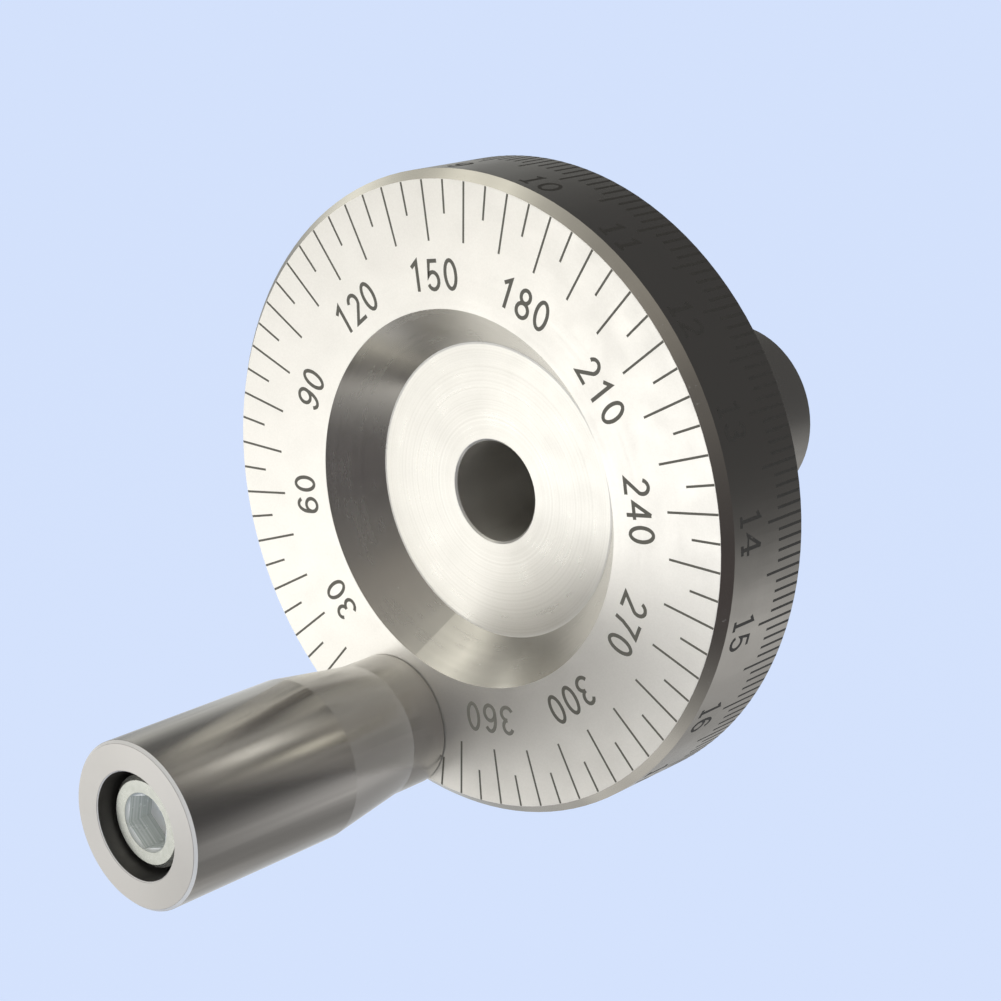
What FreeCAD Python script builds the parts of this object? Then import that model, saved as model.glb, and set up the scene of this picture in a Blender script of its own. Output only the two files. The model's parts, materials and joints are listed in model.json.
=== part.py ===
"""A machine handwheel: a dished disc with an engraved dial, a long hub and a revolving grip.

The wheel turns about the Y axis. The origin is the middle of the hub's rear face, which
seats on the machine, and +Y points out of that face. The dial looks towards -Y and +Z is
up. All sizes are in millimetres and degrees, and each is kept in the sheet once.

Every piece is drawn in the wheel's own frame, where the dial face lies in the XZ plane,
the hub points to +Y and the handle stands on the +X side. One placement then moves the
hub's rear face to the origin and turns the handle to where it stands on the object.
"""
import FreeCAD, Part
import math
import os
import Sketcher

DOCUMENT = FreeCAD.newDocument("machine_handwheel")

# Driving dimensions: name, value, what it measures.
SIZES = [
    ("rim_diameter", 125.0, "outside of the wheel"),
    ("rim_width", 22.5, "dial face to the back of the disc"),
    ("rim_front_chamfer", 1.75, "polished bevel between dial face and rim"),
    ("rim_back_chamfer", 0.3, "broken edge at the back of the rim"),
    ("dial_ring_width", 23.9, "flat dial face, bevel to recess"),
    ("recess_wall_run", 7.75, "how far in the recess's sloping wall comes"),
    ("recess_depth", 9.2, "dial face to recess floor"),
    ("bore_diameter", 20.0, "hole for the machine's shaft"),
    ("bore_chamfer", 0.4, "bevel at both ends of the bore"),
    ("hub_diameter", 39.0, "plain cylinder behind the disc"),
    ("overall_length", 89.5, "dial face to the hub's rear face"),
    ("hub_end_chamfer", 1.0, "bevel at the hub's rear edge"),
    ("hub_root_chamfer", 1.5, "bevel left in the corner between hub and disc"),
    ("dial_divisions", 72, "lines round the dial face"),
    ("dial_long_line_every", 2, "each such dial line is a long one"),
    ("dial_line_setback", 0.35, "bevel to the outer end of every dial line"),
    ("dial_short_line", 6.3, "bevel to the line's inner end"),
    ("dial_long_line", 11.3, "bevel to the line's inner end"),
    ("dial_line_width", 0.46, "engraved line at the surface"),
    ("rim_divisions", 200, "lines round the rim"),
    ("rim_long_line_every", 5, "each such rim line is a long one"),
    ("rim_line_setback", 0.5, "disc's back to the rear end of every rim line"),
    ("rim_short_line", 7.4, "disc's back to the line's front end"),
    ("rim_long_line", 10.6, "disc's back to the line's front end"),
    ("rim_line_width", 0.38, "engraved line at the surface"),
    ("rim_zero_angle", 8.3, "handle's axis to the rim's zero line"),
    ("engraving_depth", 0.2, "every engraved line, at its root"),
    ("handle_rim_inset", 9.3, "rim to handle axis"),
    ("handle_angle", 248.6, "handle axis from +X towards +Z"),
    ("grip_length", 68.0, "dial face to the grip's outer end"),
    ("grip_diameter", 32.8, "cylinder that the hand turns"),
    ("grip_neck_diameter", 27.5, "short cylinder at the dial face"),
    ("grip_neck_length", 8.9, "dial face to the start of the taper"),
    ("grip_taper_length", 18.6, "cone between neck and cylinder"),
    ("grip_end_chamfer", 0.6, "polished edge of the grip's outer end"),
    ("grip_pocket_chamfer", 0.25, "bevel at the mouth of the pocket for the screw's head"),
    ("grip_end_gap", 0.25, "running gap at each end of the grip"),
    ("grip_running_gap", 0.05, "running gap between grip and sleeve, on the radius"),
    ("counterbore_gap", 1.5, "screw's head to the pocket round it, on the radius"),
    ("sleeve_diameter", 16.0, "tube that the grip turns on"),
    ("sleeve_screw_gap", 0.2, "gap between sleeve and screw, on the radius"),
    ("screw_diameter", 12.0, "shank of the handle screw"),
    ("screw_length", 75.0, "handle screw below its head"),
    ("screw_head_diameter", 18.0, "socket head"),
    ("screw_head_height", 12.0, "socket head"),
    ("screw_head_chamfer", 0.9, "bevel round the top of the head"),
    ("screw_head_sink", 2.5, "grip's end to the top of the head"),
    ("screw_tip_chamfer", 1.2, "bevel at the end of the thread"),
    ("socket_across_flats", 10.0, "hexagon in the handle screw"),
    ("socket_depth", 6.0, "hexagon in the handle screw"),
    ("socket_turn", 9.2, "hexagon's corner from the line that leads away from the wheel's axis"),
    ("socket_mouth_chamfer", 0.5, "bevel at the hexagon's mouth"),
    ("thread_gap", 0.02, "screw to tapped hole, on the radius"),
    ("set_screw_diameter", 8.0, "grub screws that clamp the shaft"),
    ("set_screw_length", 8.0, "grub screws that clamp the shaft"),
    ("set_screw_inset", 12.0, "hub's rear face to the grub screws' axes"),
    ("set_screw_bore_gap", 0.3, "grub screw's tip to the bore's wall"),
    ("set_screw_tip_chamfer", 1.0, "bevel at a grub screw's tip"),
    ("set_screw_across_flats", 4.0, "hexagon in a grub screw"),
    ("set_screw_socket_depth", 3.5, "hexagon in a grub screw"),
]


class Size:
    """A length that carries its formula for the document and its number for a first drawing."""

    def __init__(self, formula, number):
        self.formula = formula
        self.number = number

    def join(self, sign, other, number):
        formula = other.formula if isinstance(other, Size) else repr(other)
        return Size(f"({self.formula} {sign} {formula})", number)

    def __add__(self, other):
        return self.join("+", other, self.number + number_of(other))

    def __sub__(self, other):
        return self.join("-", other, self.number - number_of(other))

    def __mul__(self, other):
        return self.join("*", other, self.number * number_of(other))

    def __truediv__(self, other):
        return self.join("/", other, self.number / number_of(other))

    def __neg__(self):
        return Size(f"(0 - {self.formula})", -self.number)


def number_of(value):
    return value.number if isinstance(value, Size) else value


def make_sheet():
    """Keep every driving dimension in one spreadsheet, each cell with its own alias."""
    sheet = DOCUMENT.addObject("Spreadsheet::Sheet", "Sizes")
    for row, (alias, value, note) in enumerate(SIZES, start=1):
        sheet.set(f"A{row}", alias)
        sheet.set(f"B{row}", str(value))
        sheet.set(f"C{row}", note)
        sheet.setAlias(f"B{row}", alias)
    DOCUMENT.recompute()
    return sheet


SHEET = make_sheet()


def size(alias):
    return Size(f"Sizes.{alias}", float(SHEET.get(alias)))


ZERO = Size("0", 0.0)
NO_TURN = "rotation(vector(0; 1; 0); 0)"


# Bodies and their places

def new_body(label):
    body = DOCUMENT.addObject("PartDesign::Body", label)
    body.Label = label
    return body


def origin_feature(body, role):
    return next(item for item in body.Origin.OriginFeatures if item.Role == role)


def place(body, x=ZERO, y=ZERO, z=ZERO, turn=NO_TURN):
    """Put a body at a point of the wheel's own frame, then move that frame to the object's."""
    handle_turn = f"rotation(vector(0; 1; 0); 0 - {size('handle_angle').formula})"
    rear_face = f"vector(0; 0 - {size('overall_length').formula}; 0)"
    point = f"vector({x.formula}; {y.formula}; {z.formula})"
    body.setExpression("Placement",
                       f"placement({rear_face}; {handle_turn}) * placement({point}; {turn})")


# Sketches and the features made from them

def new_sketch(body, name, plane, lift=ZERO, turn=NO_TURN):
    """An empty sketch on one of the body's origin planes, turned, then lifted off its plane."""
    sketch = body.newObject("Sketcher::SketchObject", name)
    sketch.AttachmentSupport = [(origin_feature(body, plane), "")]
    sketch.MapMode = "FlatFace"
    lifted = f"placement(vector(0; 0; {lift.formula}); {NO_TURN})"
    sketch.setExpression("AttachmentOffset", f"placement(vector(0; 0; 0); {turn}) * {lifted}")
    return sketch


def pin_point(sketch, edge, end, across, along):
    """Hold one end of a sketch edge at a distance across and along from the sketch's origin."""
    for kind, distance in (("DistanceX", across), ("DistanceY", along)):
        index = sketch.addConstraint(
            Sketcher.Constraint(kind, -1, 1, edge, end, distance.number))
        sketch.setExpression(f"Constraints[{index}]", distance.formula)


def draw_outline(sketch, corners):
    """Draw a closed outline of straight sides, each corner held by its own two distances."""
    count = len(corners)
    points = [FreeCAD.Vector(across.number, along.number, 0) for across, along in corners]
    for index in range(count):
        following = (index + 1) % count
        sketch.addGeometry(Part.LineSegment(points[index], points[following]), False)
    for index in range(count):
        following = (index + 1) % count
        sketch.addConstraint(Sketcher.Constraint("Coincident", index, 2, following, 1))
    for index, (across, along) in enumerate(corners):
        pin_point(sketch, index, 1, across, along)


def revolve(body, name, corners):
    """Turn an outline drawn in radius and length about the body's own Y axis."""
    sketch = new_sketch(body, f"{name}_profile", "XY_Plane")
    draw_outline(sketch, corners)
    turned = body.newObject("PartDesign::Revolution", name)
    turned.Profile = sketch
    turned.ReferenceAxis = (sketch, ["V_Axis"])
    turned.Angle = 360
    DOCUMENT.recompute()
    return turned


def cut_pocket(body, name, sketch, depth=None, towards_normal=False):
    """Cut a sketch into the body: to a depth, or through all that lies on that side."""
    before = body.Shape.Volume
    pocket = body.newObject("PartDesign::Pocket", name)
    pocket.Profile = sketch
    pocket.Reversed = towards_normal
    if depth is None:
        pocket.Type = "ThroughAll"
    else:
        pocket.Type = "Length"
        pocket.setExpression("Length", depth.formula)
    DOCUMENT.recompute()
    if body.Shape.Volume >= before:
        raise RuntimeError(f"{name} cuts nothing")
    return pocket


def drill(body, name, plane, across, along, diameter, towards_normal=False):
    """A round hole from an origin plane through all that lies on one side of it."""
    sketch = new_sketch(body, f"{name}_circle", plane)
    centre = FreeCAD.Vector(across.number, along.number, 0)
    sketch.addGeometry(Part.Circle(centre, FreeCAD.Vector(0, 0, 1), diameter.number / 2), False)
    pin_point(sketch, 0, 3, across, along)
    index = sketch.addConstraint(Sketcher.Constraint("Diameter", 0, diameter.number))
    sketch.setExpression(f"Constraints[{index}]", diameter.formula)
    return cut_pocket(body, name, sketch, towards_normal=towards_normal)


def cut_hexagon(body, name, across_flats, depth, turn=NO_TURN):
    """A hexagon socket from the body's XZ plane, one corner on the turned sketch's own X axis."""
    sketch = new_sketch(body, f"{name}_hexagon", "XZ_Plane", turn=turn)
    corner_radius = across_flats / math.sqrt(3)
    corners = []
    for step in range(6):
        angle = math.radians(60 * step)
        across = corner_radius * round(math.cos(angle), 12)
        along = corner_radius * round(math.sin(angle), 12)
        corners.append((across, along))
    draw_outline(sketch, corners)
    return cut_pocket(body, name, sketch, depth)


def repeat_round(body, name, features, count):
    """Repeat features evenly round the body's own Y axis.

    The copies lie apart, so no faces need merging and the slow refining step is off.
    """
    before = body.Shape.Volume
    pattern = body.newObject("PartDesign::PolarPattern", name)
    pattern.Originals = features
    pattern.Axis = (origin_feature(body, "Y_Axis"), [""])
    pattern.Angle = 360
    pattern.Refine = False
    pattern.setExpression("Occurrences", count.formula)
    body.Tip = pattern
    DOCUMENT.recompute()
    if body.Shape.Volume >= before:
        raise RuntimeError(f"{name} repeats nothing")
    return pattern


# The wheel: one turned piece, disc and hub, engraved on its face and rim

def recess_mouth_radius():
    return size("rim_diameter") / 2 - size("rim_front_chamfer") - size("dial_ring_width")


def make_wheel_body():
    body = new_body("wheel_body")
    turn_wheel(body)
    engrave_dial(body)
    drill_wheel(body)
    engrave_rim(body)
    place(body)
    return body


def turn_wheel(body):
    rim = size("rim_diameter") / 2
    front_chamfer = size("rim_front_chamfer")
    back_chamfer = size("rim_back_chamfer")
    width = size("rim_width")
    hub = size("hub_diameter") / 2
    root = size("hub_root_chamfer")
    length = size("overall_length")
    hub_chamfer = size("hub_end_chamfer")
    bore = size("bore_diameter") / 2
    bore_chamfer = size("bore_chamfer")
    floor = size("recess_depth")
    mouth = recess_mouth_radius()
    revolve(body, "turned_wheel", [
        (mouth, ZERO),
        (rim - front_chamfer, ZERO),
        (rim, front_chamfer),
        (rim, width - back_chamfer),
        (rim - back_chamfer, width),
        (hub + root, width),
        (hub, width + root),
        (hub, length - hub_chamfer),
        (hub - hub_chamfer, length),
        (bore + bore_chamfer, length),
        (bore, length - bore_chamfer),
        (bore, floor + bore_chamfer),
        (bore + bore_chamfer, floor),
        (mouth - size("recess_wall_run"), floor),
    ])


def drill_wheel(body):
    """Tapped holes: one for the handle's screw, two in the hub at right angles."""
    gap = size("thread_gap") * 2
    drill(body, "handle_hole", "XZ_Plane", handle_radius(), ZERO, size("screw_diameter") + gap)
    along = size("overall_length") - size("set_screw_inset")
    diameter = size("set_screw_diameter") + gap
    drill(body, "lower_set_screw_hole", "YZ_Plane", along, ZERO, diameter, towards_normal=True)
    drill(body, "side_set_screw_hole", "XY_Plane", ZERO, along, diameter)


def cut_line(body, name, plane, turn, start, length, surface, width, outward):
    """Engrave one line with a V cutter whose point runs one engraving depth below a surface.

    The cutter widens evenly, so it is as wide as the line where it meets the surface. The
    surface is a distance across the sketch, and outward is the sign that leads out of the
    metal. The cutter starts at a distance from the wheel's middle or face and moves away.
    """
    depth = size("engraving_depth")
    root = surface - depth * outward
    outside = surface + depth * outward
    along_normal = plane == "YZ_Plane"
    lift = start if along_normal else -start
    sketch = new_sketch(body, f"{name}_cutter", plane, lift, turn)
    draw_outline(sketch, [(root, ZERO), (outside, width), (outside, -width)])
    return cut_pocket(body, name, sketch, length, towards_normal=along_normal)


def engrave_dial(body):
    """Radial lines on the dial face: a long one, then short ones up to the next long one.

    They stop just short of the bevel, so its edge stays whole.
    """
    edge = size("rim_diameter") / 2 - size("rim_front_chamfer")
    setback = size("dial_line_setback")
    count = size("dial_divisions")
    every = size("dial_long_line_every")
    lines = []
    for index in range(int(every.number)):
        line = size("dial_short_line") if index else size("dial_long_line")
        turn = f"rotation(vector(1; 0; 0); {index} * 360 / {count.formula})"
        lines.append(cut_line(body, f"dial_line_{index}", "YZ_Plane", turn, edge - line,
                              line - setback, ZERO, size("dial_line_width"), -1))
    repeat_round(body, "dial_lines", lines, count / every)


def engrave_rim(body):
    """Lines along the rim: a long one, then short ones up to the next.

    They stop just short of the broken edge at the disc's back.
    """
    back = size("rim_width")
    setback = size("rim_line_setback")
    surface = size("rim_diameter") / 2
    count = size("rim_divisions")
    every = size("rim_long_line_every")
    lines = []
    for index in range(int(every.number)):
        line = size("rim_short_line") if index else size("rim_long_line")
        angle = f"{size('rim_zero_angle').formula} + {index} * 360 / {count.formula}"
        turn = f"rotation(vector(0; 0; 1); {angle})"
        lines.append(cut_line(body, f"rim_line_{index}", "XZ_Plane", turn, back - line,
                              line - setback, surface, size("rim_line_width"), 1))
    repeat_round(body, "rim_lines", lines, count / every)


# The handle: a grip that turns on a sleeve, which a socket-head screw clamps to the wheel

def handle_radius():
    return size("rim_diameter") / 2 - size("handle_rim_inset")


def sleeve_length():
    """Dial face to the underside of the screw's head."""
    return size("grip_length") - size("screw_head_sink") - size("screw_head_height")


def make_handle_grip():
    """Drawn from its outer end back to the dial face."""
    body = new_body("handle_grip")
    length = size("grip_length")
    grip = size("grip_diameter") / 2
    neck = size("grip_neck_diameter") / 2
    neck_start = length - size("grip_neck_length")
    chamfer = size("grip_end_chamfer")
    gap = size("grip_end_gap")
    foot = length - gap
    bore = size("sleeve_diameter") / 2 + size("grip_running_gap")
    pocket = size("screw_head_diameter") / 2 + size("counterbore_gap")
    pocket_chamfer = size("grip_pocket_chamfer")
    pocket_floor = length - sleeve_length() + gap
    revolve(body, "turned_grip", [
        (grip - chamfer, ZERO),
        (grip, chamfer),
        (grip, neck_start - size("grip_taper_length")),
        (neck, neck_start),
        (neck, foot),
        (bore, foot),
        (bore, pocket_floor),
        (pocket, pocket_floor),
        (pocket, pocket_chamfer),
        (pocket + pocket_chamfer, ZERO),
    ])
    place(body, handle_radius(), -length)
    return body


def make_handle_sleeve():
    body = new_body("handle_sleeve")
    outer = size("sleeve_diameter") / 2
    inner = size("screw_diameter") / 2 + size("sleeve_screw_gap")
    length = sleeve_length()
    revolve(body, "sleeve_tube", [(inner, ZERO), (outer, ZERO), (outer, length), (inner, length)])
    place(body, handle_radius(), -length)
    return body


def make_handle_screw():
    """A socket-head cap screw, drawn from the top of its head."""
    body = new_body("handle_screw")
    head = size("screw_head_diameter") / 2
    head_height = size("screw_head_height")
    chamfer = size("screw_head_chamfer")
    shank = size("screw_diameter") / 2
    tip = size("screw_tip_chamfer")
    full = head_height + size("screw_length")
    across_flats = size("socket_across_flats")
    mouth_bevel = size("socket_mouth_chamfer")
    mouth = across_flats / math.sqrt(3)
    revolve(body, "turned_screw", [
        (ZERO, mouth_bevel),
        (mouth - mouth_bevel, mouth_bevel),
        (mouth, ZERO),
        (head - chamfer, ZERO),
        (head, chamfer),
        (head, head_height),
        (shank, head_height),
        (shank, full - tip),
        (shank - tip, full),
        (ZERO, full),
    ])
    cut_hexagon(body, "screw_socket", across_flats, size("socket_depth"),
                f"rotation(vector(0; 0; 1); {size('socket_turn').formula})")
    place(body, handle_radius(), size("screw_head_sink") - size("grip_length"))
    return body


# Grub screws in the hub, which clamp the wheel to the shaft

def make_set_screw(label, outward, turn):
    """Drawn with its socket end at the body's origin and its tip towards +Y.

    The turn points +Y at the wheel's axis. Outward gives the screw's side of the hub as
    signs along the wheel frame's X and Z.
    """
    body = new_body(label)
    radius = size("set_screw_diameter") / 2
    chamfer = size("set_screw_tip_chamfer")
    length = size("set_screw_length")
    revolve(body, f"{label}_rod", [
        (ZERO, ZERO),
        (radius, ZERO),
        (radius, length - chamfer),
        (radius - chamfer, length),
        (ZERO, length),
    ])
    cut_hexagon(body, f"{label}_socket", size("set_screw_across_flats"),
                size("set_screw_socket_depth"))
    reach = size("bore_diameter") / 2 + size("set_screw_bore_gap") + length
    along = size("overall_length") - size("set_screw_inset")
    place(body, reach * outward[0], along, reach * outward[1], turn)
    return body


def make_set_screws():
    """One on the handle's side of the hub, and one a quarter turn from it."""
    from_handle_side = "rotation(vector(0; 0; 1); 90)"
    from_quarter_turn = "rotation(vector(1; 0; 0); 90)"
    return [
        make_set_screw("lower_set_screw", (1, 0), from_handle_side),
        make_set_screw("side_set_screw", (0, -1), from_quarter_turn),
    ]


# Checks and files

def check_document():
    """Stop if any feature failed, because recompute alone does not."""
    DOCUMENT.recompute()
    for item in DOCUMENT.Objects:
        if "Invalid" in item.State or "Error" in item.State:
            raise RuntimeError(f"{item.Label} failed: {item.State}")


def write_parts(bodies):
    for body in bodies:
        if body.Shape.isNull() or not body.Shape.isValid():
            raise RuntimeError(f"{body.Label} has no valid shape")
    os.makedirs("parts", exist_ok=True)
    for body in bodies:
        shape = body.Shape
        shape.exportStep(f"parts/{body.Label}.step")
        box = shape.optimalBoundingBox()
        print(f"{body.Label}: {len(shape.Solids)} solid, {len(shape.Faces)} faces,",
              f"volume {shape.Volume:.1f} mm3, x {box.XMin:.2f}..{box.XMax:.2f},",
              f"y {box.YMin:.2f}..{box.YMax:.2f}, z {box.ZMin:.2f}..{box.ZMax:.2f}")


BODIES = [make_wheel_body(), make_handle_grip(), make_handle_sleeve(), make_handle_screw()]
BODIES += make_set_screws()
check_document()
write_parts(BODIES)
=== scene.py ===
# %% [markdown]
# The machine handwheel
#
# A handwheel for a machine's feed screw: one turned aluminium wheel with a long hub, 72 lines
# and plain numbers engraved on its dial face, 200 lines round its rim, and a revolving grip
# held by a socket-head screw. The construction comes in as a fixed frame. This script adds
# what the eye meets: the finish of each metal surface, the paint in the engraving and the
# numbers. Blender works in metres, so sizes on the drawing are written as so many millimetres.

import json
import math

import bmesh
import bpy
from mathutils import Matrix, Vector


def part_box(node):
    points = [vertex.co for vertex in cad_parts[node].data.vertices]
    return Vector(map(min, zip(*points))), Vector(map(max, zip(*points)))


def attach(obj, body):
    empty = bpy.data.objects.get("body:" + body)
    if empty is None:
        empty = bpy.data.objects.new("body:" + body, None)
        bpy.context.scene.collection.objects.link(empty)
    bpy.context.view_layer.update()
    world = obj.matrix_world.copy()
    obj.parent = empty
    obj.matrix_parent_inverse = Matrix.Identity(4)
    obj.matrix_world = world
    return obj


MM = 0.001

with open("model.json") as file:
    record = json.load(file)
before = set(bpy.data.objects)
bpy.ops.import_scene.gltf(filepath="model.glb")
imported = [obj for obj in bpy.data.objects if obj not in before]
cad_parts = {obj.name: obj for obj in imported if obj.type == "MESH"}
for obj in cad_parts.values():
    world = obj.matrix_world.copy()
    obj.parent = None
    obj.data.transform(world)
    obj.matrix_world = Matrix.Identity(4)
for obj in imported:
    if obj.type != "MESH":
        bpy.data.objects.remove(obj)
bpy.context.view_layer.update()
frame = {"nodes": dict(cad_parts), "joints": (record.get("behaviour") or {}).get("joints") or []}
NODES = frame["nodes"]
print("nodes in the frame:", sorted(NODES))

# %% [markdown]
# Places that the engraving is set out from
#
# The wheel turns about Y and its dial looks towards -Y. Angles are measured in the XZ plane,
# from +X towards +Z. All places could be typed in, but the rim, the dial face and the handle's
# axis are read from the frame, so paint and numbers stay on the metal. The engraving's own
# sizes are the drawing's.

# %% Places on the wheel
WHEEL_LOW, WHEEL_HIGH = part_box("wheel_body")
RIM_RADIUS = WHEEL_HIGH.x
DIAL_Y = WHEEL_LOW.y
HANDLE_POINT = Vector(frame["joints"][0]["pos_m"])
HANDLE_ANGLE = math.atan2(HANDLE_POINT.z, HANDLE_POINT.x)

RIM_WIDTH = 22.5 * MM
BEVEL = 1.75 * MM
RECESS_MOUTH_RADIUS = 36.85 * MM
RECESS_FLOOR_RADIUS = 29.1 * MM
RECESS_DEPTH = 9.2 * MM
BORE_RADIUS = 10.0 * MM
BEVEL_RADIUS = RIM_RADIUS - BEVEL
RIM_BACK_Y = DIAL_Y + RIM_WIDTH
DIAL_LINE_SETBACK = 0.05 * MM
RIM_LINE_SETBACK = 0.35 * MM
# The rim's scale starts a little past the handle.
RIM_ZERO_ANGLE = HANDLE_ANGLE + math.radians(8.3)
print(f"rim radius {RIM_RADIUS / MM:.2f} mm, handle at {math.degrees(HANDLE_ANGLE):.1f} degrees")


# %% [markdown]
# Two small helpers for materials
#
# Colours are written as sRGB hex, the way a colour picker shows them, and shaders want them
# linear. A node could be added, set and linked by hand in many lines. One call that does all
# of it keeps each material's recipe short enough to read from top to bottom.

# %% Colours and nodes
def linear(hex_colour):
    """A '#rrggbb' colour as the linear RGBA that shaders work in."""
    channels = [int(hex_colour[i:i + 2], 16) / 255 for i in (1, 3, 5)]
    low = 0.04045
    return tuple(c / 12.92 if c <= low else ((c + 0.055) / 1.055) ** 2.4 for c in channels) + (1.0,)


def add_node(tree, kind, inputs=None, **options):
    """Add a node, set its options, and set or link the inputs named in a dictionary."""
    node = tree.nodes.new(kind)
    for name, value in options.items():
        setattr(node, name, value)
    for key, value in (inputs or {}).items():
        if isinstance(value, bpy.types.NodeSocket):
            tree.links.new(value, node.inputs[key])
        else:
            node.inputs[key].default_value = value
    return node


print("middle grey #808080 is", round(linear("#808080")[0], 3), "in linear light")

# %% [markdown]
# Masks that read a place on a turned part
#
# A lathe changes a part's finish at a radius or at a depth, so each mask here asks whether the
# radius or the depth lies between two limits. Masks could be painted by hand, but a question
# about a size stays true when the part is cut again. Finishes are then stacked: numbers are
# added up with weights, and colours are laid one over another.

# %% Places and masks
# Masks reach this far past their surface, in mm, so that rounding leaves no gap.
NEAR = 0.05
# In mm, further than any place on the part.
FAR = 1000.0


def place_in_mm(tree, centre=Vector((0, 0, 0))):
    """Distance from an axis along Y through a centre, the place along it, and the point, in mm."""
    here = add_node(tree, "ShaderNodeTexCoord").outputs["Object"]
    moved = add_node(tree, "ShaderNodeMapping",
                     {"Vector": here, "Location": -centre / MM, "Scale": (1 / MM,) * 3})
    split = add_node(tree, "ShaderNodeSeparateXYZ", {"Vector": moved.outputs[0]})
    flat = add_node(tree, "ShaderNodeCombineXYZ", {"X": split.outputs["X"], "Z": split.outputs["Z"]})
    radius = add_node(tree, "ShaderNodeVectorMath", {0: flat.outputs[0]}, operation="LENGTH")
    return radius.outputs["Value"], split.outputs["Y"], moved.outputs[0]


def times(tree, *factors):
    """All factors multiplied, which for masks is 1 only where every one of them is 1."""
    product = factors[0]
    for factor in factors[1:]:
        product = add_node(tree, "ShaderNodeMath", {0: product, 1: factor},
                           operation="MULTIPLY").outputs[0]
    return product


def between(tree, value, low, high):
    """1 where a value lies between two limits, and 0 elsewhere."""
    above = add_node(tree, "ShaderNodeMath", {0: value, 1: low}, operation="GREATER_THAN")
    below = add_node(tree, "ShaderNodeMath", {0: value, 1: high}, operation="LESS_THAN")
    return times(tree, above.outputs[0], below.outputs[0])


def weighted_sum(tree, start, parts):
    """A starting value plus each part times its weight."""
    total = start
    for part, weight in parts:
        total = add_node(tree, "ShaderNodeMath", {0: part, 1: weight, 2: total},
                         operation="MULTIPLY_ADD").outputs[0]
    return total


def laid_over(tree, base, layers):
    """A colour with others laid over it in turn, each as far as its mask lets it."""
    # A Mix node has sockets for every type of value. Inputs 6 and 7 and output 2 are colours.
    for mask, colour in layers:
        mixed = add_node(tree, "ShaderNodeMix", {0: mask, 6: base, 7: colour}, data_type="RGBA")
        base = mixed.outputs[2]
    return base


print("masks reach", NEAR, "mm past a surface")

# %% [markdown]
# What all metal surfaces here share
#
# Every piece but the paint is metal, so each material starts as one Principled shader. A
# cutting tool leaves rings round the axis. They could be modelled, but they are finer than a
# pixel, so noise along one direction stands for them. Their other effect, that reflections
# smear across the rings, is what an anisotropic shader does without any texture.

# %% Metal helpers
# The tangent runs along the rings. A quarter turn makes reflections smear across them.
ACROSS_THE_RINGS = 0.25


def new_material(name):
    """An empty material whose Principled shader is already joined to the output."""
    material = bpy.data.materials.new(name)
    material.use_nodes = True
    tree = material.node_tree
    tree.nodes.clear()
    shader = add_node(tree, "ShaderNodeBsdfPrincipled")
    add_node(tree, "ShaderNodeOutputMaterial", {"Surface": shader.outputs[0]})
    return material, tree, shader


def turning_marks(tree, along, pitch_mm, seed):
    """Noise along one direction only: the rings that a cutting tool leaves, so many mm apart."""
    place = weighted_sum(tree, seed, [(along, 1 / pitch_mm)])
    rings = add_node(tree, "ShaderNodeTexNoise",
                     {"W": place, "Scale": 1.0, "Detail": 2.0, "Roughness": 0.6},
                     noise_dimensions="1D")
    return rings.outputs["Fac"]


def smear_reflections(tree, metal, strength):
    """Stretch reflections across the rings that run round the Y axis."""
    tangent = add_node(tree, "ShaderNodeTangent", direction_type="RADIAL", axis="Y")
    tree.links.new(tangent.outputs[0], metal.inputs["Tangent"])
    metal.inputs["Anisotropic"].default_value = strength
    metal.inputs["Anisotropic Rotation"].default_value = ACROSS_THE_RINGS


def give_relief(tree, metal, height, depth):
    """Let a pattern rise and fall by a real depth."""
    relief = add_node(tree, "ShaderNodeBump", {"Height": height, "Strength": 1.0, "Distance": depth})
    tree.links.new(relief.outputs[0], metal.inputs["Normal"])


def set_patterns(tree, shader, results):
    """Link patterns to a shader's inputs, by the inputs' names."""
    for name, result in results.items():
        tree.links.new(result, shader.inputs[name])


print("reflections are turned by", ACROSS_THE_RINGS, "of a whole turn")

# %% [markdown]
# The wheel: bright turned aluminium
#
# The real wheel is one piece of aluminium with three finishes. The dial face is faced and
# lightly lapped, so it is satin and nearly white. The recess floor is turned, with rings that
# catch the light. The rim, both slopes and the hub are polished, so they mirror the dark side
# of the room. Each finish could be a material on faces of its own, but 272 engraved lines cut
# those faces up. One material that picks the finish from radius and depth is simpler and has
# sharp borders, as on the lathe.

# %% Where each finish is
# In mm, how wide the painted highlights round the floor and round the bore are.
FLOOR_LINE = 0.4
BORE_LINE = 0.45


def wheel_masks(tree, radius, along):
    """One mask for each surface of the wheel."""
    dial_y = DIAL_Y / MM
    floor_y = dial_y + RECESS_DEPTH / MM
    bore = BORE_RADIUS / MM
    floor = RECESS_FLOOR_RADIUS / MM
    mouth = RECESS_MOUTH_RADIUS / MM
    bevel = BEVEL_RADIUS / MM
    at_dial = between(tree, along, dial_y - NEAR, dial_y + NEAR)
    at_floor = between(tree, along, floor_y - NEAR, floor_y + NEAR)
    in_recess = between(tree, along, dial_y + NEAR, floor_y - NEAR)
    at_bevel = between(tree, along, -FAR, dial_y + BEVEL / MM + NEAR)
    return {
        "dial": times(tree, at_dial, between(tree, radius, mouth - NEAR, bevel + NEAR)),
        "floor": times(tree, at_floor, between(tree, radius, bore, floor + NEAR)),
        # The next two are thin rings that are made bright below, as painted highlights.
        "floor highlight": times(tree, at_floor, between(tree, radius, floor - FLOOR_LINE, floor + NEAR)),
        "bore highlight": between(tree, radius, bore + NEAR, bore + BORE_LINE),
        "bore": between(tree, radius, -FAR, bore + NEAR),
        "wall": times(tree, in_recess, between(tree, radius, floor - NEAR, mouth + NEAR)),
        "bevel": times(tree, at_bevel, between(tree, radius, bevel + NEAR, FAR)),
        "hub": between(tree, along, RIM_BACK_Y / MM + NEAR, FAR),
    }


print("the recess floor lies", round((DIAL_Y + RECESS_DEPTH) / MM, 2), "mm along Y")

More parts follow.
